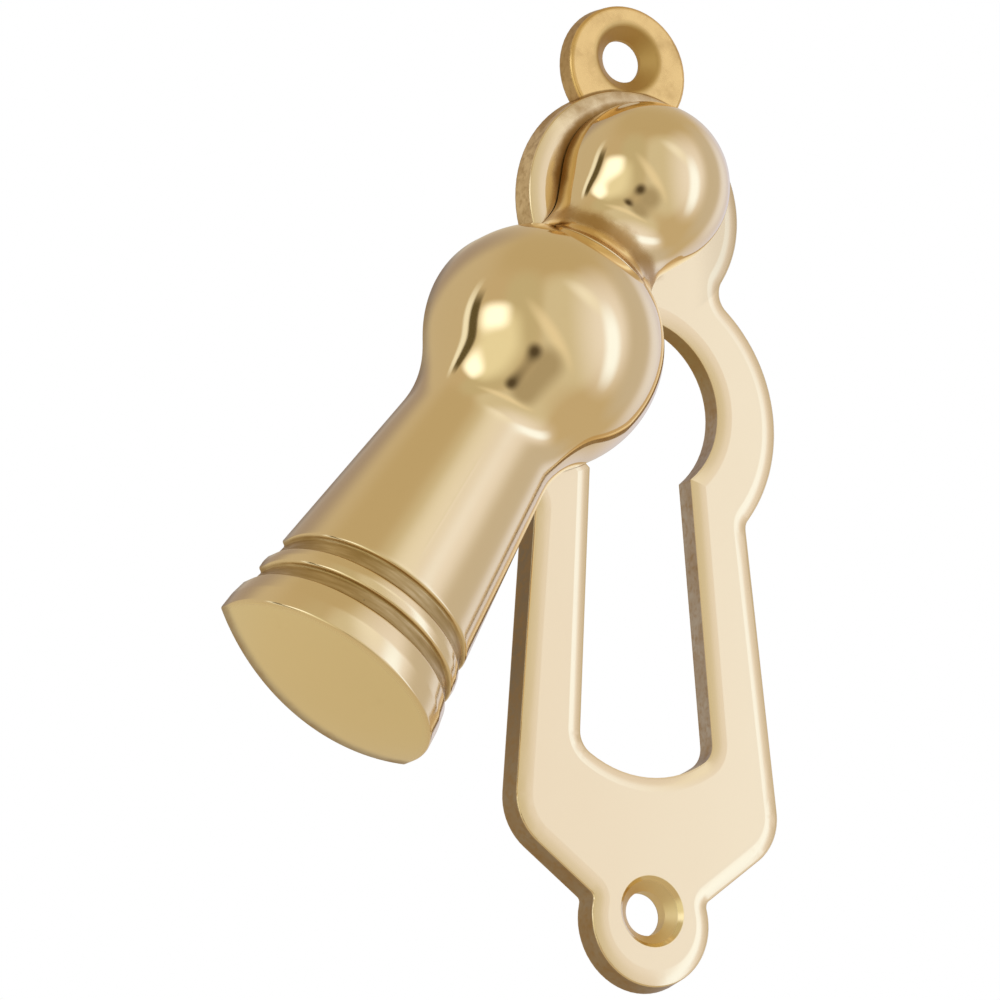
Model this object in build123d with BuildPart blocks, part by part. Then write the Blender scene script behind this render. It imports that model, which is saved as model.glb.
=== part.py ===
from build123d import *
import os
from math import asin, atan, atan2, cos, degrees, radians, sin, sqrt, tan

# Covered keyhole escutcheon: a cast plate, a baluster cover that swings, and the rivet it turns on.
# X is right, Z is up the door and Y runs into the door, so the plate's back lies on y = 0.
# The origin is midway between the two screw holes.

# Plate
plate_thickness = 2.2
wall_draft = 7.0
crown_slope = 20.0
crown_share = 0.28
keyhole_crown_share = 0.26
crown_arc_share = 0.84
plate_edge_r = 0.15

hole_spacing = 71.0
screw_hole_d = 3.6
countersink_d = 5.8
countersink_angle = 90.0

top_lug_rim = 2.7
top_lug_step = 0.39
top_lug_drop = 1.0
top_lug_edge_r = 0.4
top_sink_edge_r = 0.6
bottom_lug_r = 5.6
bottom_lug_drop = 0.7

head_r = 10.0
head_drop = 1.25
head_lap = 0.15
neck_fillet_r = 1.7
body_drop = 18.6
body_rim = 5.6
waist_inset = 3.0
waist_fillet_r = 1.0
skirt_rim = 6.3
shoulder_rise = 6.4
shoulder_fillet_r = 4.8
skirt_tip = 2.5
notch_fillet_r = 0.5

keyhole_r = 7.4
keyhole_rise = 0.7
slot_top_width = 8.7
slot_bottom_width = 12.4
slot_rise = 4.5
slot_sag = 2.3
slot_corner_r = 2.0

# Pivot
rivet_d = 4.0
rivet_running_gap = 0.05
rivet_sink_d = 6.8
rivet_head_recess = 0.1
rivet_tail = 5.0

# Cover, from the ball on the pivot down to the foot
cover_gap = 0.15
cover_swing = 34.6
cover_wall = 1.3
small_ball_r = 6.95
small_ball_end = 4.5
cove_r = 4.95
cove_drop = 2.2
cove_blend_r = 2.0
lip_r = 6.4
lip_drop = 10.3
lip_width = 0.4
lip_edge_r = 0.25
quirk_depth = 0.3
quirk_width = 0.25
big_ball_r = 10.0
big_ball_drop = 6.8
stem_waist_r = 6.6
stem_waist_drop = 10.25
stem_foot_r = 8.6
groove_width = 1.7
groove_depth = 0.4
groove_side = 0.2
groove_edge_r = 0.1
bead_top_r = 8.85
bead_bottom_r = 9.0
bead_width = 1.4
band_top_r = 9.35
rim_r = 9.8
rim_width = 3.1
rim_edge_r = 0.3
swell = 0.08
dome_height = 2.9
foot_gap = 0.3

# The top lug keeps its rim of metal, and the foot of the head disc runs in just below the countersink
top_lug_r = countersink_d / 2 + top_lug_rim
pivot_drop = countersink_d / 2 + head_r - head_drop - head_lap

# Heights on the plate, counted from the screw holes
top_hole_z = hole_spacing / 2
bottom_hole_z = -hole_spacing / 2
top_lug_z = top_hole_z - top_lug_drop
bottom_lug_z = bottom_hole_z - bottom_lug_drop
pivot_z = top_hole_z - pivot_drop
head_z = pivot_z - head_drop
body_z = pivot_z - body_drop
keyhole_z = body_z + keyhole_rise
shoulder_z = bottom_hole_z + shoulder_rise
slot_bottom_z = shoulder_z + slot_rise
slot_corner_z = slot_bottom_z + slot_sag
skirt_end_z = bottom_lug_z - skirt_tip

# The plate keeps its rim of metal around the keyhole
body_r = keyhole_r + body_rim
waist_half_width = body_r - waist_inset
waist_z = body_z - sqrt(body_r**2 - waist_half_width**2)
shoulder_half_width = slot_bottom_width / 2 + skirt_rim

slot_bottom_r = (slot_bottom_width**2 / 4 + slot_sag**2) / (2 * slot_sag)

# The two crowns share the narrow land between the slot and the waist
slot_flare = (slot_bottom_width - slot_top_width) / (keyhole_z - slot_corner_z)
waist_land = waist_half_width - slot_top_width / 2 - slot_flare / 2 * (keyhole_z - waist_z)
crown_reach = crown_share * waist_land
keyhole_crown_reach = keyhole_crown_share * waist_land

# Each crown is an arc, from the flat front to a short straight slope at the edge
slope = tan(radians(crown_slope))
crown_drop = crown_reach / 2 * slope
crown_r = crown_arc_share * crown_reach / 2 / tan(radians(crown_slope / 2))
crown_edge_depth = plate_thickness - crown_drop * cos(radians(wall_draft))
keyhole_crown_drop = keyhole_crown_reach / 2 * slope
keyhole_crown_r = crown_arc_share * keyhole_crown_reach / 2 / tan(radians(crown_slope / 2))
top_lug_depth = crown_edge_depth - top_lug_step

# The rivet fills its seat but for the running gap
rivet_hole_r = rivet_d / 2 + rivet_running_gap
rivet_head_r = rivet_sink_d / 2 - rivet_head_recess - rivet_running_gap
rivet_head_height = (rivet_head_r - rivet_d / 2) / tan(radians(countersink_angle / 2))
rivet_length = plate_thickness + cover_gap + rivet_tail - rivet_head_recess

# Stations down the cover's axis, measured from the pivot
quirk_at = lip_drop + lip_width
big_ball_top_at = quirk_at + quirk_width
big_ball_at = big_ball_top_at + big_ball_drop
stem_waist_at = big_ball_at + stem_waist_drop

# The shut cover stops just above the bottom screw, and its foot is counted up from there
foot_at = pivot_z - bottom_hole_z - countersink_d / 2 - foot_gap
rim_at = foot_at - dome_height
band_at = rim_at - rim_width
lower_groove_at = band_at - groove_width
bead_at = lower_groove_at - bead_width
stem_foot_at = bead_at - groove_width
stem_foot_drop = stem_foot_at - stem_waist_at

# The waist is an arc that touches the big ball, and the stem is a straight line that touches the waist
big_ball_top_r = sqrt(big_ball_r**2 - big_ball_drop**2)
waist_arc_r = (stem_waist_r**2 + stem_waist_drop**2 - big_ball_r**2) / (2 * (big_ball_r - stem_waist_r))
waist_x = stem_waist_r + waist_arc_r
ball_share = big_ball_r / (big_ball_r + waist_arc_r)
big_ball_end = (waist_x * ball_share, -big_ball_at - stem_waist_drop * ball_share)
foot_inset = waist_x - stem_foot_r
stem_turn = atan2(foot_inset, stem_foot_drop) - asin(waist_arc_r / sqrt(foot_inset**2 + stem_foot_drop**2))
stem_top = (waist_x - waist_arc_r * cos(stem_turn), -stem_waist_at + waist_arc_r * sin(stem_turn))
dome_r = (rim_r**2 + dome_height**2) / (2 * dome_height)


def front_plane(depth, z):
    # Work plane that looks out of the front of the plate, with its own Y up the door
    return Plane(origin=(0, -depth, z), x_dir=(1, 0, 0), z_dir=(0, -1, 0))


def back_plane(depth, z):
    # Work plane that looks out of the back of the plate
    return Plane(origin=(0, -depth, z), x_dir=(1, 0, 0), z_dir=(0, 1, 0))


def at_height(height):
    # Picks the corners of a sketch that lie at one height
    return lambda corner: abs(corner.Y - height) < 0.001


def at_depth(depth):
    # Picks the edges that lie at one depth from the back of the plate
    return lambda edge: abs(edge.center().Y + depth) < 0.001


# Plate: two discs, a flared skirt and a lug make the outline, with a thinner lug at the top
with BuildPart() as plate:
    with BuildSketch(front_plane(0, top_lug_z)):
        Circle(top_lug_r)
    extrude(amount=top_lug_depth, taper=wall_draft)
    fillet(plate.edges().sort_by(Axis.Y)[0], top_lug_edge_r)

    with BuildSketch(front_plane(0, 0)) as outline:
        with Locations((0, head_z)):
            Circle(head_r)
        with Locations((0, body_z)):
            Circle(body_r)
        fillet(outline.vertices(), neck_fillet_r)
        with BuildLine():
            Polyline(
                (0, waist_z),
                (waist_half_width, waist_z),
                (shoulder_half_width, shoulder_z),
                (0, skirt_end_z),
            )
            mirror(about=Plane.YZ)
        make_face()
        fillet(outline.vertices().filter_by(at_height(waist_z)), waist_fillet_r)
        fillet(outline.vertices().filter_by(at_height(shoulder_z)), shoulder_fillet_r)
        corners_above_lug = outline.vertices()
        with Locations((0, bottom_lug_z)):
            Circle(bottom_lug_r)
        fillet(outline.vertices() - corners_above_lug, notch_fillet_r)
    extrude(amount=plate_thickness, taper=wall_draft)

    with BuildSketch(front_plane(0, 0)) as keyhole:
        with Locations((0, keyhole_z)):
            Circle(keyhole_r)
        with BuildLine():
            Polyline(
                (0, keyhole_z),
                (slot_top_width / 2, keyhole_z),
                (slot_bottom_width / 2, slot_corner_z),
            )
            RadiusArc((slot_bottom_width / 2, slot_corner_z), (0, slot_bottom_z), slot_bottom_r)
            mirror(about=Plane.YZ)
        make_face()
        fillet(keyhole.vertices().filter_by(at_height(slot_corner_z)), slot_corner_r)
    extrude(amount=plate_thickness, mode=Mode.SUBTRACT)

    # The front is crowned along the outline
    front = plate.faces().sort_by(Axis.Y)[0]
    chamfer(front.outer_wire().edges(), length=crown_reach / 2, length2=crown_drop, reference=front)
    front = plate.faces().sort_by(Axis.Y)[0]
    fillet(front.outer_wire().edges(), crown_r)
    fillet(plate.edges().filter_by(at_depth(crown_edge_depth)), plate_edge_r)

    # A narrower crown runs to the crisp edge of the keyhole
    front = plate.faces().sort_by(Axis.Y)[0]
    keyhole_edges = front.inner_wires()[0].edges()
    chamfer(keyhole_edges, length=keyhole_crown_reach / 2, length2=keyhole_crown_drop, reference=front)
    front = plate.faces().sort_by(Axis.Y)[0]
    fillet(front.inner_wires()[0].edges(), keyhole_crown_r)

    with Locations(front_plane(top_lug_depth, top_hole_z), front_plane(plate_thickness, bottom_hole_z)):
        CounterSinkHole(screw_hole_d / 2, countersink_d / 2, counter_sink_angle=countersink_angle)
    top_face_edges = plate.edges().filter_by(at_depth(top_lug_depth))
    fillet(top_face_edges.filter_by(GeomType.CIRCLE).sort_by(SortBy.RADIUS)[0], top_sink_edge_r)
    with Locations(back_plane(0, pivot_z)):
        CounterSinkHole(rivet_hole_r, rivet_sink_d / 2, counter_sink_angle=countersink_angle)
plate.part.label = "plate"

# Cover: a turned half-round on the cover's axis, standing on a flat wall of the same outline
swing_angle = radians(cover_swing)
across = (cos(swing_angle), 0, -sin(swing_angle))
cover_depth = plate_thickness + cover_gap
cover_back = Plane(origin=(0, -cover_depth, pivot_z), x_dir=across, z_dir=(0, -1, 0))
turning_plane = cover_back.offset(cover_wall)

with BuildPart() as cover:
    with BuildSketch(turning_plane) as half_outline:
        with BuildLine():
            small_ball_angle = degrees(asin(small_ball_end / small_ball_r))
            small_ball = CenterArc((0, 0), small_ball_r, 90, -90 - small_ball_angle)
            ThreePointArc(small_ball @ 1, (cove_r, -small_ball_end - cove_drop), (lip_r, -lip_drop))
            Polyline(
                (lip_r, -lip_drop),
                (lip_r, -quirk_at),
                (lip_r - quirk_depth, -quirk_at),
                (lip_r - quirk_depth, -big_ball_top_at),
                (big_ball_top_r, -big_ball_top_at),
            )
            ThreePointArc((big_ball_top_r, -big_ball_top_at), (big_ball_r, -big_ball_at), big_ball_end)
            ThreePointArc(big_ball_end, (stem_waist_r, -stem_waist_at), stem_top)
            Polyline(
                stem_top,
                (stem_foot_r, -stem_foot_at),
                (stem_foot_r - groove_depth, -stem_foot_at - groove_side),
                (bead_top_r - groove_depth, -bead_at + groove_side),
                (bead_top_r, -bead_at),
            )
            SagittaArc((bead_top_r, -bead_at), (bead_bottom_r, -lower_groove_at), swell)
            Polyline(
                (bead_bottom_r, -lower_groove_at),
                (bead_bottom_r - groove_depth, -lower_groove_at - groove_side),
                (band_top_r - groove_depth, -band_at + groove_side),
                (band_top_r, -band_at),
            )
            SagittaArc((band_top_r, -band_at), (rim_r, -rim_at), swell)
            RadiusArc((rim_r, -rim_at), (0, -foot_at), dome_r)
            Line((0, -foot_at), small_ball @ 0)
        make_face()
        fillet(half_outline.vertices().filter_by(at_height(-small_ball_end)), cove_blend_r)
        fillet(half_outline.vertices().filter_by(at_height(-lip_drop)), lip_edge_r)
        fillet(half_outline.vertices().filter_by(at_height(-rim_at)), rim_edge_r)
        for groove_edge in (stem_foot_at, bead_at, lower_groove_at, band_at):
            fillet(half_outline.vertices().filter_by(at_height(-groove_edge)), groove_edge_r)
    revolve(axis=Axis(turning_plane.origin, -turning_plane.y_dir), revolution_arc=180)
    extrude(cover.faces().group_by(Axis.Y)[-1], amount=cover_wall)
    with Locations(back_plane(cover_depth, pivot_z)):
        Hole(rivet_d / 2, depth=rivet_tail)
cover.part.label = "cover"

# Rivet: a straight shank in the ball's blind hole, with a countersunk head in the back of the plate
with BuildPart(back_plane(rivet_head_recess, pivot_z)) as pivot_rivet:
    Cylinder(rivet_d / 2, rivet_length, align=(Align.CENTER, Align.CENTER, Align.MAX))
    Cone(rivet_d / 2, rivet_head_r, rivet_head_height, align=(Align.CENTER, Align.CENTER, Align.MAX))
pivot_rivet.part.label = "pivot_rivet"

os.makedirs("parts", exist_ok=True)
for piece in (plate, cover, pivot_rivet):
    export_step(piece.part, f"parts/{piece.part.label}.step")
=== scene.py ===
import bmesh
import bpy
from math import cos, radians, sin, tan
from mathutils import Matrix, Vector
import numpy as np


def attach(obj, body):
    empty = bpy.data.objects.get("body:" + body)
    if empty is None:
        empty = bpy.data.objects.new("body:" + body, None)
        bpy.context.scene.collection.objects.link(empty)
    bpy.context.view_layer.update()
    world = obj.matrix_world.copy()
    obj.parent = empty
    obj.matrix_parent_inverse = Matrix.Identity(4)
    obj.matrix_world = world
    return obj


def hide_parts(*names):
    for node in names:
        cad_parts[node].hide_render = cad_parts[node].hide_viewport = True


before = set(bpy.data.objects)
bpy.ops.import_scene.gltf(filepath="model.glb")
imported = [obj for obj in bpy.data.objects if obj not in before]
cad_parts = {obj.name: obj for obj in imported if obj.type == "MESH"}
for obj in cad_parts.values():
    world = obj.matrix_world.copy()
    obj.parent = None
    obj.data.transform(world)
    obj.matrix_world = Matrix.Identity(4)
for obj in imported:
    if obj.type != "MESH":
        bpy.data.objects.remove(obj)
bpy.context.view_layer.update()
mm = 0.001
print("frame loaded:", ", ".join(sorted(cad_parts)))

# Camera, on the angle that the plate's outline gives
view = dict(
    az=-29.41, el=-13.653, roll=-1.091,  # degrees
    far=622.8 * mm, aim=(-11.949 * mm, 0.0, -2.577 * mm),
    lens=280.2, sensor=36, nearest=0.01, farthest=50,
)


def lookFrom(az, el, roll):
    # turn about Z by az, tip by el, then roll about the line of sight; az 0 looks along +Y
    tip = Matrix.Rotation(radians(90) - el, 3, "X")
    return Matrix.Rotation(az, 3, "Z") @ tip @ Matrix.Rotation(roll, 3, "Z")


def addCamera():
    turn = lookFrom(radians(view["az"]), radians(view["el"]), radians(view["roll"]))
    place = Vector(view["aim"]) + turn @ Vector((0, 0, view["far"]))
    data = bpy.data.cameras.new("viewCamera")
    data.lens = view["lens"]
    data.sensor_width = view["sensor"]
    data.clip_start = view["nearest"]
    data.clip_end = view["farthest"]
    camera = bpy.data.objects.new("viewCamera", data)
    camera.matrix_world = Matrix.Translation(place) @ turn.to_4x4()
    bpy.context.scene.collection.objects.link(camera)
    bpy.context.scene.camera = camera
    return camera


camera = addCamera()
print("camera at", [round(x / mm, 2) for x in camera.matrix_world.translation], "mm")


# Small helpers for node trees
def addNode(tree, kind, sockets=None, **settings):
    node = tree.nodes.new(kind)
    for key, value in settings.items():
        setattr(node, key, value)
    for key, value in (sockets or {}).items():
        if isinstance(value, bpy.types.NodeSocket):
            tree.links.new(value, node.inputs[key])
        else:
            node.inputs[key].default_value = value
    return node


def calc(tree, operation, a, b=0.0):
    return addNode(tree, "ShaderNodeMath", {0: a, 1: b}, operation=operation).outputs[0]


def times(tree, first, *others):
    for other in others:
        first = calc(tree, "MULTIPLY", first, other)
    return first


def most(tree, first, *others):
    for other in others:
        first = calc(tree, "MAXIMUM", first, other)
    return first


def summed(tree, start, *terms):
    # start plus each mask times its amount
    for mask, amount in terms:
        start = calc(tree, "ADD", start, times(tree, mask, amount))
    return start


def rise(tree, value, low, high, top=1.0):
    # smooth step from 0 at low to top at high; low may be the larger of the two
    sockets = {"Value": value, "From Min": low, "From Max": high, "To Max": top}
    step = addNode(tree, "ShaderNodeMapRange", sockets, interpolation_type="SMOOTHSTEP")
    return step.outputs["Result"]


def inBand(tree, value, low, high, soft):
    up, down = rise(tree, value, low - soft, low + soft), rise(tree, value, high + soft, high - soft)
    return times(tree, up, down)


def blendColor(tree, share, a, b):
    mix = addNode(tree, "ShaderNodeMix", {0: share}, data_type="RGBA")
    for socket, value in ((mix.inputs[6], a), (mix.inputs[7], b)):
        if isinstance(value, bpy.types.NodeSocket):
            tree.links.new(value, socket)
        else:
            socket.default_value = (*value, 1.0)
    return mix.outputs[2]


def layered(tree, color, *layers):
    # each layer's colour laid over the ones before it, where its mask is
    for mask, shade in layers:
        color = blendColor(tree, mask, color, shade)
    return color


def newGroup(name, inputs, outputs):
    tree = bpy.data.node_groups.new(name, "ShaderNodeTree")
    for label, kind, value in inputs:
        socket = tree.interface.new_socket(name=label, in_out="INPUT", socket_type=kind)
        if value is not None:
            socket.default_value = value
    for label, kind in outputs:
        tree.interface.new_socket(name=label, in_out="OUTPUT", socket_type=kind)
    return tree, tree.nodes.new("NodeGroupInput"), tree.nodes.new("NodeGroupOutput")


def useGroup(tree, group, sockets):
    return addNode(tree, "ShaderNodeGroup", sockets, node_tree=group)


# Studio: a light tent of soft cards that the brass mirrors, a pale floor and a white surround
tent = dict(
    radius=2.0, across=96, up=49,
    room=(0.61, 0.54, 0.43),
    cards=[
        # name, azimuth, elevation, roll, half width, half height (degrees), softness, squareness, colour
        ("ceiling", 20, 82, 0, 32, 32, 0.6, 2, (0.57, 0.5, 0.37)),
        ("leftWall", -145, 24, 0, 45, 44, 0.5, 2, (0.62, 0.57, 0.49)),
        ("leftEdge", -177, 32, 0, 17, 30, 0.7, 2, (0.42, 0.37, 0.36)),
        ("front", 2, 2, 0, 32, 52, 0.35, 3, (0.71, 0.70, 0.65)),
        ("sideDim", -45, 18, 0, 16, 40, 0.4, 3, (0.60, 0.57, 0.46)),
        ("stripHalo", 41, 6, 0, 28, 38, 1.0, 2, (0.96, 1.01, 1.3)),
        ("frontRidge", -18, -2, -32, 5, 28, 0.9, 2, (0.88, 0.85, 0.78)),
        ("dimPatch", -22, -30, -20, 13, 15, 0.6, 2, (0.46, 0.42, 0.34)),
        ("windowGlow", -67, -2, 0, 19, 22, 0.55, 3, (0.90, 0.92, 0.83)),
        ("window", -71, 17, 0, 12.5, 10.5, 0.55, 3, (1.5, 1.65, 1.95)),
        ("streak", -93, 7, 0, 4.6, 29, 0.35, 6, (0.13, 0.11, 0.06)),
        ("edgeLine", -101, 10, 0, 3.0, 30, 0.6, 6, (1.0, 1.08, 1.2)),
        ("rightWall", 82, 6, 0, 23, 44, 0.5, 2, (0.63, 0.61, 0.63)),
        ("farRight", 118, 4, 0, 25, 36, 0.5, 2, (0.76, 0.77, 0.95)),
        ("stripTail", 20, 33, -38, 5.5, 14, 0.9, 2, (0.98, 1.04, 1.2)),
        ("rightStrip", 42, -5, -10, 7.5, 26, 0.6, 3, (1.14, 1.38, 2.0)),
        ("edgeGlow", 104, 8, 0, 9, 25, 0.8, 2, (0.86, 0.92, 1.2)),
        ("darkSpot", -35, -18, 0, 6.0, 6.4, 0.75, 2, (0.10, 0.08, 0.055)),
    ],
)
floorLook = dict(half=1.3, low=-0.5, paper=(0.9, 0.9, 0.89, 1), rough=0.9, glow=0.35)
surround = dict(fill=(0.8, 0.8, 0.8), seen=(1.0, 1.0, 1.0))


def cardGroup():
    # a soft card on the tent, seen flat on from the middle:
    # side and height over depth, joined by a power mean
    tree, inside, outside = newGroup("softCard", [
        ("Direction", "NodeSocketVector", None), ("Half Width", "NodeSocketFloat", 0.2),
        ("Half Height", "NodeSocketFloat", 0.2), ("Softness", "NodeSocketFloat", 0.3),
        ("Squareness", "NodeSocketFloat", 2.0)], [("Mask", "NodeSocketFloat")])
    axes = addNode(tree, "ShaderNodeSeparateXYZ", {0: inside.outputs["Direction"]})
    depth = calc(tree, "MAXIMUM", times(tree, axes.outputs["Y"], -1.0), 0.0001)
    power = inside.outputs["Squareness"]
    total = None
    for axis, half in (("X", "Half Width"), ("Z", "Half Height")):
        share = calc(tree, "DIVIDE", calc(tree, "DIVIDE", axes.outputs[axis], depth), inside.outputs[half])
        term = calc(tree, "POWER", calc(tree, "ABSOLUTE", share), power)
        total = term if total is None else calc(tree, "ADD", total, term)
    reach = calc(tree, "POWER", total, calc(tree, "DIVIDE", 1.0, power))
    outer = calc(tree, "ADD", 1.0, inside.outputs["Softness"])
    inner = calc(tree, "SUBTRACT", 1.0, inside.outputs["Softness"])
    tree.links.new(rise(tree, reach, outer, inner), outside.inputs["Mask"])
    return tree


def ballGrid(radius, across, up):
    # points at every azimuth and elevation of a sphere,
    # as rings of quads with the poles closed by triangles
    az = np.linspace(0, 2 * np.pi, across, endpoint=False)
    el = np.linspace(-np.pi / 2, np.pi / 2, up)[1:-1]
    azGrid, elGrid = np.meshgrid(az, el)
    ring = np.stack([np.cos(elGrid) * np.cos(azGrid), np.cos(elGrid) * np.sin(azGrid), np.sin(elGrid)], -1)
    points = np.concatenate([ring.reshape(-1, 3), [[0, 0, -1], [0, 0, 1]]]) * radius
    row, col = np.meshgrid(np.arange(up - 3), np.arange(across), indexing="ij")
    nextCol = (col + 1) % across
    quads = np.stack([row * across + col, row * across + nextCol,
                      (row + 1) * across + nextCol, (row + 1) * across + col], -1).reshape(-1, 4)
    first = np.arange(across)
    after = (first + 1) % across
    last = (up - 3) * across
    south, north = len(points) - 2, len(points) - 1
    southCap = np.stack([after, first, np.full(across, south)], -1)
    northCap = np.stack([last + first, last + after, np.full(across, north)], -1)
    return points, quads.tolist() + southCap.tolist() + northCap.tolist()


def addTent():
    points, faces = ballGrid(tent["radius"], tent["across"], tent["up"])
    mesh = bpy.data.meshes.new("lightTent")
    mesh.from_pydata(points.tolist(), [], faces)
    material = bpy.data.materials.new("tentCloth")
    material.use_nodes = True
    tree = material.node_tree
    tree.nodes.clear()
    place = addNode(tree, "ShaderNodeTexCoord").outputs["Object"]
    direction = addNode(tree, "ShaderNodeVectorMath", {0: place}, operation="NORMALIZE").outputs[0]
    group = cardGroup()
    color = tent["room"]
    for name, az, el, roll, wide, high, soft, square, shade in tent["cards"]:
        turn = (Matrix.Rotation(radians(az), 3, "Z") @ Matrix.Rotation(radians(-el), 3, "X")
                @ Matrix.Rotation(radians(roll), 3, "Y")).to_euler("XYZ")
        local = addNode(tree, "ShaderNodeMapping", {"Vector": direction, "Rotation": turn},
                        vector_type="TEXTURE")
        mask = useGroup(tree, group, {
            "Direction": local.outputs[0], "Half Width": tan(radians(wide)),
            "Half Height": tan(radians(high)), "Softness": soft, "Squareness": square})
        mask.label = name
        color = blendColor(tree, mask.outputs["Mask"], color, shade)
    glow = addNode(tree, "ShaderNodeEmission", {"Color": color, "Strength": 1.0})
    addNode(tree, "ShaderNodeOutputMaterial", {"Surface": glow.outputs[0]})
    mesh.materials.append(material)
    cloth = bpy.data.objects.new("lightTent", mesh)
    cloth.visible_camera = False
    cloth.visible_shadow = False
    bpy.context.scene.collection.objects.link(cloth)


def addFloor():
    # a flat square well below the piece
    half, low = floorLook["half"], floorLook["low"]
    corners = [(-half, -half, low), (half, -half, low), (half, half, low), (-half, half, low)]
    mesh = bpy.data.meshes.new("paleFloor")
    mesh.from_pydata(corners, [], [(0, 1, 2, 3)])
    material = bpy.data.materials.new("palePaper")
    material.use_nodes = True
    shader = material.node_tree.nodes["Principled BSDF"]
    shader.inputs["Base Color"].default_value = floorLook["paper"]
    shader.inputs["Roughness"].default_value = floorLook["rough"]
    shader.inputs["Emission Color"].default_value = (1, 1, 1, 1)
    shader.inputs["Emission Strength"].default_value = floorLook["glow"]
    mesh.materials.append(material)
    floor = bpy.data.objects.new("paleFloor", mesh)
    floor.visible_glossy = False
    bpy.context.scene.collection.objects.link(floor)


def addWorld():
    # white for what the camera, mirrors and glass see, a little softer for the rest
    world = bpy.data.worlds.new("whiteSurround")
    world.use_nodes = True
    tree = world.node_tree
    tree.nodes.clear()
    rays = addNode(tree, "ShaderNodeLightPath").outputs
    seen = most(tree, rays["Is Camera Ray"], rays["Is Glossy Ray"], rays["Is Transmission Ray"])
    color = blendColor(tree, seen, surround["fill"], surround["seen"])
    back = addNode(tree, "ShaderNodeBackground", {"Color": color, "Strength": 1.0})
    addNode(tree, "ShaderNodeOutputWorld", {"Surface": back.outputs[0]})
    bpy.context.scene.world = world


addTent()
addFloor()
addWorld()
bpy.context.scene.view_settings.view_transform = "Standard"
print("studio ready:", len(tent["cards"]), "cards")

# Cover: a baluster turned about its axis, with the front of its two necks a little deeper than the sides
coverShape = dict(
    pivotZ=24.0, axisY=-3.65, backY=-2.35, swing=34.6,
    smallBall=6.95, bigBall=10.0, bigBallAt=17.75, bigBallTop=10.95,
    sideCove=dict(at=6.6, radius=4.95, arc=3.0), frontCove=dict(at=6.65, radius=4.4, arc=3.0),
    sideWaist=dict(slope=36.7, straight=0.0, turn=27.0, arcs=(7.15, 7.15)),
    frontWaist=dict(slope=35.5, straight=1.75, turn=27.0, arcs=(9.0, 2.6)),
    flareShare=0.97, stemLean=1.12,
    lip=[(10.3, 6.4), (10.7, 6.4), (10.72, 6.1), (10.93, 6.1)], lipEase=0.18,
    foot=[(45.5, 8.6), (45.7, 8.22), (47.0, 8.45), (47.2, 8.85), (47.9, 9.0), (48.6, 9.0), (48.8, 8.62),
          (50.1, 8.92), (50.3, 9.35), (51.8, 9.66), (53.4, 9.79)], footEase=0.16,
    rimAt=53.4, rimRadius=9.79, footAt=56.3,
    steps=dict(smallBall=110, hollow=30, flare=36, bigBall=130, cone=24, waist=30, stem=40, dome=50),
    upperEven=(200, 3), lowerEven=(280, 4),  # points along the line, and how many the blur takes in
    around=96, sharpFrom=50,
)


def arcBetween(center, radius, start, stop, count):
    # points on a circle in the (station, radius) plane, from one slope angle to another
    angle = np.linspace(start, stop, count)
    return np.stack([center[0] + radius * np.sin(angle), center[1] + radius * np.cos(angle)], -1)


def easedLine(points, ease, count=7):
    # a line through the points whose inner corners are short curves with the corner as their handle
    points = np.array(points, float)
    before, corner, after = points[:-2], points[1:-1], points[2:]
    lengths = np.linalg.norm(np.diff(points, axis=0), axis=1)
    reach = np.minimum(ease, 0.45 * np.minimum(lengths[:-1], lengths[1:]))[:, None]
    start = corner + (before - corner) / lengths[:-1, None] * reach
    stop = corner + (after - corner) / lengths[1:, None] * reach
    t = np.linspace(0, 1, count)[None, :, None]
    curve = (1 - t) ** 2 * start[:, None] + 2 * t * (1 - t) * corner[:, None] + t ** 2 * stop[:, None]
    return np.concatenate([points[:1], curve.reshape(-1, 2), points[-1:]])


def neckSlope(ball, ballAt, neck):
    # slope of the straight line that touches a ball on the axis and the hollow of the neck beside it
    along, out = neck["at"] - ballAt, neck["radius"] + neck["arc"]
    apart = np.hypot(along, out)
    return np.arctan2(along, out) - np.arccos(min(1.0, (ball + neck["arc"]) / apart))


def hollowFrom(point, radius, start, stop, count):
    # an arc hollowed from outside that leaves a point at one slope and ends at another
    middle = point + radius * np.array([np.sin(start), np.cos(start)])
    return arcBetween(middle, -radius, start, stop, count)


def smoothed(points, count, blur):
    # even steps along a line, each moved to the mean of its neighbours under a bell that is blur steps wide
    along = np.concatenate([[0], np.cumsum(np.linalg.norm(np.diff(points, axis=0), axis=1))])
    even = np.linspace(0, along[-1], count)
    line = np.stack([np.interp(even, along, points[:, 0]), np.interp(even, along, points[:, 1])], -1)
    bell = np.exp(-0.5 * (np.arange(-3 * blur, 3 * blur + 1) / blur) ** 2)
    bell /= bell.sum()
    line = np.pad(line, ((3 * blur, 3 * blur), (0, 0)), mode="reflect", reflect_type="odd")
    return np.stack([np.convolve(line[:, 0], bell, "valid"), np.convolve(line[:, 1], bell, "valid")], -1)


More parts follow.
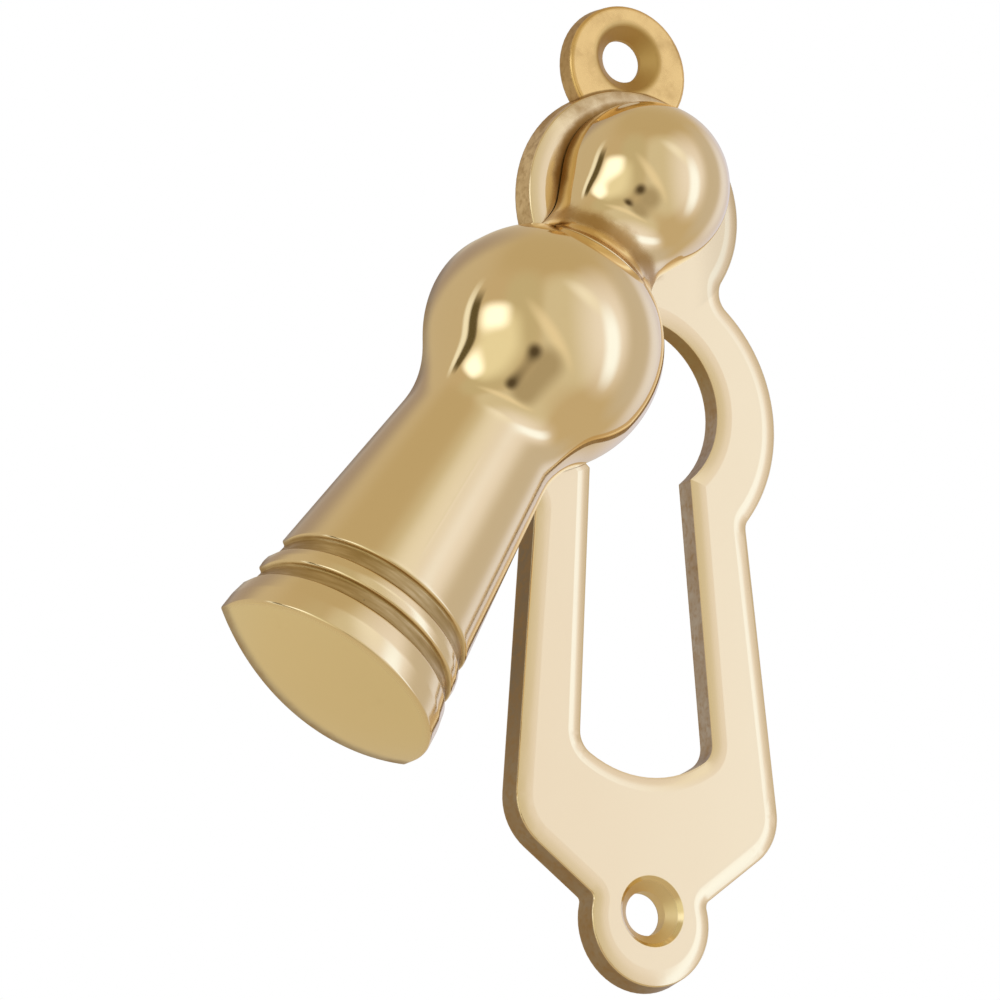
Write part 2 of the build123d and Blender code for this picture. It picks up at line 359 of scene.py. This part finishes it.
def coverProfile(shape, cove, waist):
    # ball, neck, lip, ball, waist, stem, two grooves and a low dome,
    # as (station, radius) points from top to foot
    steps = shape["steps"]
    coveSlope = neckSlope(shape["smallBall"], 0.0, cove)
    coveMiddle = (cove["at"], cove["radius"] + cove["arc"])
    lipAt, lipRadius = shape["lip"][0]
    along, out = lipAt - cove["at"], lipRadius - cove["radius"]
    flare = (along ** 2 + out ** 2) / (2 * out)
    flareEnd = np.arcsin(along / flare) * shape["flareShare"]
    waistSlope, waistTurn = radians(waist["slope"]), radians(waist["turn"])
    ballTop = np.arcsin((shape["bigBallTop"] - shape["bigBallAt"]) / shape["bigBall"])
    rim = (shape["rimAt"], shape["rimRadius"])
    high = shape["footAt"] - shape["rimAt"]
    dome = (shape["rimRadius"] ** 2 + high ** 2) / (2 * high)
    domeEdge = np.arcsin((dome - high) / dome)

    smallBall = arcBetween((0, 0), shape["smallBall"], -np.pi / 2, coveSlope, steps["smallBall"])
    hollow = arcBetween(coveMiddle, -cove["arc"], coveSlope, 0, steps["hollow"])
    flareArc = arcBetween((cove["at"], cove["radius"] + flare), -flare, 0, -flareEnd, steps["flare"])
    bigBall = arcBetween((shape["bigBallAt"], 0), shape["bigBall"], ballTop, waistSlope, steps["bigBall"])
    coneEnd = bigBall[-1] + waist["straight"] * np.array([1.0, -np.tan(waistSlope)])
    cone = np.linspace(bigBall[-1], coneEnd, steps["cone"])[1:-1]
    upperWaist = hollowFrom(coneEnd, waist["arcs"][0], waistSlope, waistTurn, steps["waist"])
    stemRise = np.arctan2(*(shape["foot"][0] - upperWaist[-1])[::-1])
    stemSlope = -shape["stemLean"] * stemRise
    lowerWaist = hollowFrom(upperWaist[-1], waist["arcs"][1], waistTurn, stemSlope, steps["waist"])
    stem = np.linspace(lowerWaist[-1], shape["foot"][0], steps["stem"])[1:-1]
    domeArc = arcBetween((shape["footAt"] - dome, 0), dome, domeEdge, np.pi / 2, steps["dome"])

    upper = smoothed(np.concatenate([smallBall, hollow, flareArc[1:]]), *shape["upperEven"])
    lower = np.concatenate([bigBall, cone, upperWaist, lowerWaist[1:], stem])
    lower = smoothed(lower, *shape["lowerEven"])
    lipLine = easedLine([upper[-1], *shape["lip"], lower[0]], shape["lipEase"])
    footLine = easedLine([lower[-1], *shape["foot"][:-1], rim, domeArc[3]], shape["footEase"])
    return np.concatenate([upper[:-1], lipLine, lower[1:-1], footLine, domeArc[4:]])


def addCover():
    # each ring is half a round on the flat wall: the front profile weighs in by the square of the facing
    shape = coverShape
    side = coverProfile(shape, shape["sideCove"], shape["sideWaist"])
    front = coverProfile(shape, shape["frontCove"], shape["frontWaist"])
    angle = np.linspace(-np.pi / 2, np.pi / 2, shape["around"] + 1)
    facing = np.cos(angle)[None, :, None] ** 2
    station, radius = np.moveaxis(side[:, None] + (front - side)[:, None] * facing, -1, 0)
    across = radius * np.sin(angle)
    depth = shape["axisY"] - radius * np.cos(angle)
    wall = np.full((len(side), 1), shape["backY"])
    across = np.concatenate([across[:, :1], across, across[:, -1:]], 1)
    depth = np.concatenate([wall, depth, wall], 1)
    station = np.concatenate([station[:, :1], station, station[:, -1:]], 1)
    swing = radians(shape["swing"])
    points = np.stack([across * cos(swing) - station * sin(swing), depth,
                       shape["pivotZ"] - across * sin(swing) - station * cos(swing)], -1) * mm
    rows, columns = across.shape
    row, col = np.meshgrid(np.arange(rows - 1), np.arange(columns), indexing="ij")
    after = (col + 1) % columns
    faces = np.stack([row * columns + col, row * columns + after,
                      (row + 1) * columns + after, (row + 1) * columns + col], -1).reshape(-1, 4)
    mesh = bpy.data.meshes.new("turnedCover")
    mesh.from_pydata(points.reshape(-1, 3).tolist(), [], faces.tolist())
    work = bmesh.new()
    work.from_mesh(mesh)
    bmesh.ops.remove_doubles(work, verts=work.verts, dist=1e-7)  # closes the two ends
    bmesh.ops.recalc_face_normals(work, faces=work.faces)
    work.to_mesh(mesh)
    work.free()
    mesh.polygons.foreach_set("use_smooth", np.ones(len(mesh.polygons), bool))
    mesh.set_sharp_from_angle(angle=radians(shape["sharpFrom"]))
    piece = bpy.data.objects.new("turnedCover", mesh)
    bpy.context.scene.collection.objects.link(piece)
    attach(piece, "cover")
    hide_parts("cover")
    print("cover turned:", rows, "rings,", len(mesh.polygons), "faces")
    return piece


cover = addCover()


# Finishes that more than one brass piece shares
def noise(tree, place, scale, **more):
    sockets = {"Vector": place, "Scale": scale, **more}
    return addNode(tree, "ShaderNodeTexNoise", sockets).outputs[0]


def patchGroup():
    # brown patches: cloudy noise pushed up by how much a place darkens; on the cover and the plate this takes
    # in painted shade as well as patina
    tree, inside, outside = newGroup("cloudPatches", [
        ("Place", "NodeSocketVector", None), ("Scale", "NodeSocketFloat", 0.5),
        ("Darkening", "NodeSocketFloat", 0.5)], [("Mask", "NodeSocketFloat")])
    darkening = inside.outputs["Darkening"]
    cloud = noise(tree, inside.outputs["Place"], inside.outputs["Scale"], Detail=5.0, Roughness=0.6)
    lifted = calc(tree, "ADD", times(tree, darkening, 1.25), calc(tree, "SUBTRACT", cloud, 0.75))
    held = rise(tree, darkening, 0.0, 0.12)
    tree.links.new(times(tree, rise(tree, lifted, -0.15, 0.75), held), outside.inputs["Mask"])
    return tree


def polishGroup():
    # hand polish: slow waves left by the wheel, and fine rubbing marks drawn out along one axis
    tree, inside, outside = newGroup("handPolish", [
        ("Place", "NodeSocketVector", None), ("Wave Scale", "NodeSocketFloat", 0.15),
        ("Wave", "NodeSocketFloat", 1.0), ("Marks", "NodeSocketFloat", 0.03)],
        [("Height", "NodeSocketFloat"), ("Dullness", "NodeSocketFloat")])
    place = inside.outputs["Place"]
    wave = noise(tree, place, inside.outputs["Wave Scale"], Detail=1.0)
    drawn = addNode(tree, "ShaderNodeMapping", {"Vector": place, "Scale": (1.0, 1.0, 0.06)})
    marks = noise(tree, drawn.outputs[0], 7.0, Detail=3.0)
    dull = noise(tree, place, 0.35, Detail=4.0)
    waves, rubbing = times(tree, wave, inside.outputs["Wave"]), times(tree, marks, inside.outputs["Marks"])
    tree.links.new(calc(tree, "ADD", waves, rubbing), outside.inputs["Height"])
    tree.links.new(calc(tree, "SUBTRACT", dull, 0.5), outside.inputs["Dullness"])
    return tree


def pitGroup():
    # casting pits: small round dots in a few of the cells of a scattered pattern
    tree, inside, outside = newGroup("castingPits", [
        ("Place", "NodeSocketVector", None), ("Scale", "NodeSocketFloat", 0.4),
        ("Share", "NodeSocketFloat", 0.15), ("Size", "NodeSocketFloat", 0.04)],
        [("Mask", "NodeSocketFloat")])
    sockets = {"Vector": inside.outputs["Place"], "Scale": inside.outputs["Scale"]}
    cells = addNode(tree, "ShaderNodeTexVoronoi", sockets)
    pick = addNode(tree, "ShaderNodeSeparateXYZ", {0: cells.outputs["Color"]})
    chosen = calc(tree, "LESS_THAN", pick.outputs["X"], inside.outputs["Share"])
    size = times(tree, inside.outputs["Size"], calc(tree, "ADD", pick.outputs["Y"], 0.5))
    dot = rise(tree, cells.outputs["Distance"], size, times(tree, size, 0.4))
    tree.links.new(times(tree, dot, chosen), outside.inputs["Mask"])
    return tree


cloudPatches, handPolish, castingPits = patchGroup(), polishGroup(), pitGroup()


def newBrass(name):
    material = bpy.data.materials.new(name)
    material.use_nodes = True
    shader = material.node_tree.nodes["Principled BSDF"]
    shader.inputs["Metallic"].default_value = 1.0
    return material, material.node_tree, shader


def millimetres(tree, location=(0, 0, 0), turn=(0, 0, 0)):
    # object coordinates in millimetres, moved and turned to a piece's own axis
    place = addNode(tree, "ShaderNodeTexCoord").outputs["Object"]
    own = addNode(tree, "ShaderNodeMapping", {
        "Vector": place, "Location": [x * mm for x in location],
        "Rotation": turn, "Scale": (mm, mm, mm)}, vector_type="TEXTURE").outputs[0]
    return own, addNode(tree, "ShaderNodeSeparateXYZ", {0: own}).outputs


def dress(tree, shader, color, rough, height, distance):
    bump = addNode(tree, "ShaderNodeBump", {"Height": height, "Distance": distance})
    for value, socket in ((color, "Base Color"), (rough, "Roughness"), (bump.outputs["Normal"], "Normal")):
        tree.links.new(value, shader.inputs[socket])


# Cover brass: bright balls, a satin stem and foot, brown patina in the grooves, and painted shade mixed with
# patina in the neck, under the lip, along the wall and on the back
coverFinish = dict(
    # edge is painted shade on the cover's side where it meets the plate
    brass=(0.88, 0.68, 0.37), foot=(1.0, 0.82, 0.45), edge=(0.5, 0.43, 0.3),
    darkPatch=(0.5, 0.3, 0.1), grime=(0.42, 0.27, 0.09), pit=(0.2, 0.14, 0.07),
    polished=0.06, satin=0.13, footSatin=0.32, dirty=0.42, dullness=0.06,
    wave=0.018, waveScale=0.16, marks=0.015, pitDepth=0.6, pitTint=0.7, edgeTint=0.85,
    # stations down the axis and depths from it, in millimetres
    grooves=[(45.55, 47.15), (48.65, 50.25)], neck=(6.8, 8.8), quirk=(10.62, 11.0),
    stemFrom=(26.0, 29.0), footFrom=(53.35, 53.7), wall=(-0.4, 1.25), back=(1.22, 1.28),
    # how much each place darkens; the crease under the lip is painted shade, the neck, wall and back are
    # painted shade mixed with patina, and the wall darkens more towards the neck
    neckShadeAndDirt=0.74, quirkShade=0.9, backShadeAndDirt=0.5, openDirt=0.04, grooveDirt=0.6,
    wallShadeAndDirt=0.36, wallTopShadeAndDirt=0.6, wallTop=(16.0, 8.0),
    patchScale=0.55, grimeScale=0.9, grimeStretch=(0.3, 0.3, 2.5),
    pits=dict(Scale=0.3, Share=0.22, Size=0.03),
    ridge=dict(spread=0.018, start=0.53, fade=(0.14, 0.02), reach=(32.0, 43.5), soft=1.5, height=0.45),
)


def coverBrass():
    material, tree, shader = newBrass("coverBrass")
    look, line = coverFinish, coverFinish["ridge"]
    place, axes = millimetres(tree, (0, coverShape["axisY"], coverShape["pivotZ"]),
                              (0, radians(coverShape["swing"]), 0))
    station = times(tree, axes["Z"], -1.0)
    back = rise(tree, axes["Y"], *look["back"])
    ahead = calc(tree, "SUBTRACT", 1.0, back)
    grooves = most(tree, *[inBand(tree, station, low, high, 0.1) for low, high in look["grooves"]])
    neck = inBand(tree, station, *look["neck"], 0.9)
    quirk = inBand(tree, station, *look["quirk"], 0.12)
    wall = rise(tree, axes["Y"], *look["wall"])
    foot = rise(tree, station, *look["footFrom"])
    stem = rise(tree, station, *look["stemFrom"])
    # painted shade: the neck's hollow, the crease under the lip, the side along the plate and the back face
    # are darkened, mixed with patina
    wallShadeAndDirt = calc(tree, "ADD", look["wallShadeAndDirt"], rise(tree, station, *look["wallTop"], look["wallTopShadeAndDirt"]))
    darkening = most(tree, times(tree, neck, look["neckShadeAndDirt"]), times(tree, quirk, look["quirkShade"]),
                times(tree, wall, ahead, wallShadeAndDirt), times(tree, back, look["backShadeAndDirt"]), look["openDirt"])
    darkPatch = useGroup(tree, cloudPatches, {
        "Place": place, "Scale": look["patchScale"], "Darkening": darkening}).outputs["Mask"]
    # the grooves' dirt is drawn out in streaks that run round
    drawn = addNode(tree, "ShaderNodeMapping", {"Vector": place, "Scale": look["grimeStretch"]}).outputs[0]
    grime = useGroup(tree, cloudPatches, {
        "Place": drawn, "Scale": look["grimeScale"],
        "Darkening": times(tree, grooves, ahead, look["grooveDirt"])}).outputs["Mask"]
    pits = useGroup(tree, castingPits, {"Place": place, **look["pits"]}).outputs["Mask"]
    polish = useGroup(tree, handPolish, {
        "Place": place, "Wave Scale": look["waveScale"], "Marks": look["marks"]}).outputs
    # a fine ridge that the polishing left, on a line that spreads with the stem
    offLine = calc(tree, "ADD", axes["X"], summed(tree, line["start"], (station, line["spread"])))
    ridge = times(tree, rise(tree, calc(tree, "ABSOLUTE", offLine), *line["fade"]),
                  inBand(tree, station, *line["reach"], line["soft"]))
    # painted shade: the side along the plate is tinted darker
    color = layered(tree, look["brass"], (foot, look["foot"]),
                    (times(tree, wall, look["edgeTint"]), look["edge"]), (darkPatch, look["darkPatch"]),
                    (grime, look["grime"]), (times(tree, pits, look["pitTint"]), look["pit"]))
    rough = summed(tree, look["polished"], (stem, look["satin"] - look["polished"]),
                   (foot, look["footSatin"] - look["satin"]), (polish["Dullness"], look["dullness"]),
                   (most(tree, darkPatch, grime), look["dirty"] - look["satin"]))
    height = summed(tree, polish["Height"], (ridge, line["height"]), (pits, -look["pitDepth"]))
    dress(tree, shader, color, rough, height, look["wave"] * mm)
    return material


# Plate brass: a bright flat face, cast walls coloured by height with painted shade and light over their
# brown, and a softer, duller lug at the top
plateFinish = dict(
    # head is painted shade on the right side of the round top
    brass=(0.88, 0.68, 0.38), head=(0.76, 0.58, 0.32), darkPatch=(0.38, 0.21, 0.06), pit=(0.25, 0.18, 0.1),
    lug=(0.84, 0.54, 0.19), lugWall=(0.72, 0.5, 0.23), back=(0.62, 0.45, 0.24),
    # painted shade and light on the walls: dark low, bright high, lighter again at the foot, and the keyhole
    # walls darker towards their top
    wallLowShade=(0.24, 0.185, 0.12), wallHighLight=(1.0, 0.78, 0.44), wallFootShade=(0.42, 0.32, 0.2),
    inner=(0.6, 0.53, 0.45), innerTopShade=(0.4, 0.28, 0.11),
    sink=(0.86, 0.66, 0.33), topSink=(0.62, 0.4, 0.13),
    polished=0.14, lugSatin=0.24, cast=0.42, dullness=0.06,
    wave=0.01, waveScale=0.12, marks=0.006, pitDepth=0.6, pitTint=0.6,
    # heights, depths and distances on the plate, in millimetres; a pair is where a mask starts and is full
    edgeY=-1.86, lugEdgeY=-1.3, headZ=22.75, pivotZ=24.0, holeZ=35.5, sinkRadius=2.95,
    aheadY=(-0.02, -0.12), lugFrom=(9.76, 9.86), lugZ=(28.0, 29.0),
    ballReach=(8.3, 6.9), ballSide=(3.5, 0.5), seam=(9.7, 10.0), seamZ=(30.6, 31.6),
    headReach=(9.9, 9.6), headTopZ=(27.5, 30.5), headRightX=(5.0, 8.0),
    wallHighZ=(-4.0, 16.0), wallFootZ=(-14.0, -30.0),
    innerX=(8.6, 8.0), innerEndZ=(14.6, 14.0), innerFootZ=(-26.5, -25.5), innerTopZ=(3.0, 11.0),
    # how much each place darkens; round the ball and on the walls this is painted shade as well as patina
    ballShadeAndDirt=0.85, seamDirt=0.75, wallShadeAndDirt=0.35, lugDirt=0.2, headDirt=0.4, openDirt=0.03,
    patchScale=0.5, grainScale=2.2, grain=(0.42, 0.75, 0.5),
    pits=dict(Scale=0.25, Share=0.12, Size=0.03),
)


def farFrom(tree, axes, x, z):
    # distance from a line along Y
    side, up = calc(tree, "SUBTRACT", axes["X"], x), calc(tree, "SUBTRACT", axes["Z"], z)
    return calc(tree, "SQRT", calc(tree, "ADD", times(tree, side, side), times(tree, up, up)))


def plateBrass():
    material, tree, shader = newBrass("plateBrass")
    look = plateFinish
    place, axes = millimetres(tree)
    ahead = rise(tree, axes["Y"], *look["aheadY"])
    fromHead = farFrom(tree, axes, 0, look["headZ"])
    lug = times(tree, rise(tree, fromHead, *look["lugFrom"]), rise(tree, axes["Z"], *look["lugZ"]))
    bodyWall = rise(tree, axes["Y"], look["edgeY"] - 0.06, look["edgeY"] + 0.06)
    lugWall = rise(tree, axes["Y"], look["lugEdgeY"] - 0.06, look["lugEdgeY"] + 0.06)
    wall = summed(tree, times(tree, bodyWall, calc(tree, "SUBTRACT", 1.0, lug)), (lugWall, lug))
    sinkRadius = look["sinkRadius"]
    fromLow, fromTop = farFrom(tree, axes, 0, -look["holeZ"]), farFrom(tree, axes, 0, look["holeZ"])
    lowSink = times(tree, rise(tree, fromLow, sinkRadius + 0.05, sinkRadius - 0.05), ahead)
    topSink = times(tree, rise(tree, fromTop, sinkRadius + 0.5, sinkRadius - 0.2), ahead)
    fromPivot = farFrom(tree, axes, 0, look["pivotZ"])
    # painted shade with patina on the face round the ball, where the cover sits
    nearBall = times(tree, rise(tree, fromPivot, *look["ballReach"]), ahead,
                     rise(tree, axes["X"], *look["ballSide"]))
    seam = times(tree, inBand(tree, fromHead, *look["seam"], 0.12), rise(tree, axes["Z"], *look["seamZ"]))
    onHead = times(tree, rise(tree, fromHead, *look["headReach"]), ahead)
    headTop = times(tree, onHead, rise(tree, axes["Z"], *look["headTopZ"]))
    # painted shade: the right side of the round top is coloured darker
    headRight = times(tree, onHead, rise(tree, axes["X"], *look["headRightX"]))
    inner = times(tree, rise(tree, calc(tree, "ABSOLUTE", axes["X"]), *look["innerX"]),
                  rise(tree, axes["Z"], *look["innerEndZ"]),
                  rise(tree, axes["Z"], *look["innerFootZ"]), ahead)
    darkening = most(tree, times(tree, nearBall, look["ballShadeAndDirt"]), times(tree, seam, look["seamDirt"]),
                times(tree, wall, look["wallShadeAndDirt"]), times(tree, lug, look["lugDirt"]),
                times(tree, headTop, look["headDirt"]), look["openDirt"])
    darkPatch = useGroup(tree, cloudPatches, {
        "Place": place, "Scale": look["patchScale"], "Darkening": darkening}).outputs["Mask"]
    pits = useGroup(tree, castingPits, {"Place": place, **look["pits"]}).outputs["Mask"]
    polish = useGroup(tree, handPolish, {
        "Place": place, "Wave Scale": look["waveScale"], "Marks": look["marks"]}).outputs
    grain = noise(tree, place, look["grainScale"], Detail=4.0)
    # painted shade and light: the keyhole walls and the outer walls are coloured by height
    innerColor = blendColor(tree, rise(tree, axes["Z"], *look["innerTopZ"]), look["inner"], look["innerTopShade"])
    wallColor = layered(tree, look["wallLowShade"], (rise(tree, axes["Z"], *look["wallHighZ"]), look["wallHighLight"]),
                        (rise(tree, axes["Z"], *look["wallFootZ"]), look["wallFootShade"]),
                        (inner, innerColor), (lug, look["lugWall"]))
    wallColor = blendColor(tree, ahead, look["back"], wallColor)
    wallColor = blendColor(tree, rise(tree, grain, *look["grain"]), wallColor, look["darkPatch"])
    color = layered(tree, look["brass"], (lug, look["lug"]), (headRight, look["head"]), (wall, wallColor),
                    (darkPatch, look["darkPatch"]), (lowSink, look["sink"]), (topSink, look["topSink"]),
                    (times(tree, pits, look["pitTint"]), look["pit"]))
    rough = summed(tree, look["polished"], (lug, look["lugSatin"] - look["polished"]),
                   (polish["Dullness"], look["dullness"]),
                   (most(tree, wall, darkPatch, topSink), look["cast"] - look["polished"]))
    height = summed(tree, polish["Height"], (pits, -look["pitDepth"]))
    dress(tree, shader, color, rough, height, look["wave"] * mm)
    return material


# Rivet brass: as turned, dull
rivetFinish = dict(
    brass=(0.74, 0.55, 0.3), darkPatch=(0.36, 0.23, 0.1), rough=0.3, dullness=0.1,
    wave=0.004, marks=0.2, patchScale=0.9, darkening=0.35,
)


def rivetBrass():
    material, tree, shader = newBrass("rivetBrass")
    look = rivetFinish
    place = millimetres(tree)[0]
    darkPatch = useGroup(tree, cloudPatches, {
        "Place": place, "Scale": look["patchScale"], "Darkening": look["darkening"]}).outputs["Mask"]
    polish = useGroup(tree, handPolish, {"Place": place, "Marks": look["marks"]}).outputs
    color = blendColor(tree, darkPatch, look["brass"], look["darkPatch"])
    rough = summed(tree, look["rough"], (polish["Dullness"], look["dullness"]))
    dress(tree, shader, color, rough, polish["Height"], look["wave"] * mm)
    return material


for piece, material in ((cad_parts["plate"], plateBrass()), (cover, coverBrass()),
                        (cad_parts["pivot_rivet"], rivetBrass())):
    piece.data.materials.clear()
    piece.data.materials.append(material)
    print(piece.name, "finished in", material.name)
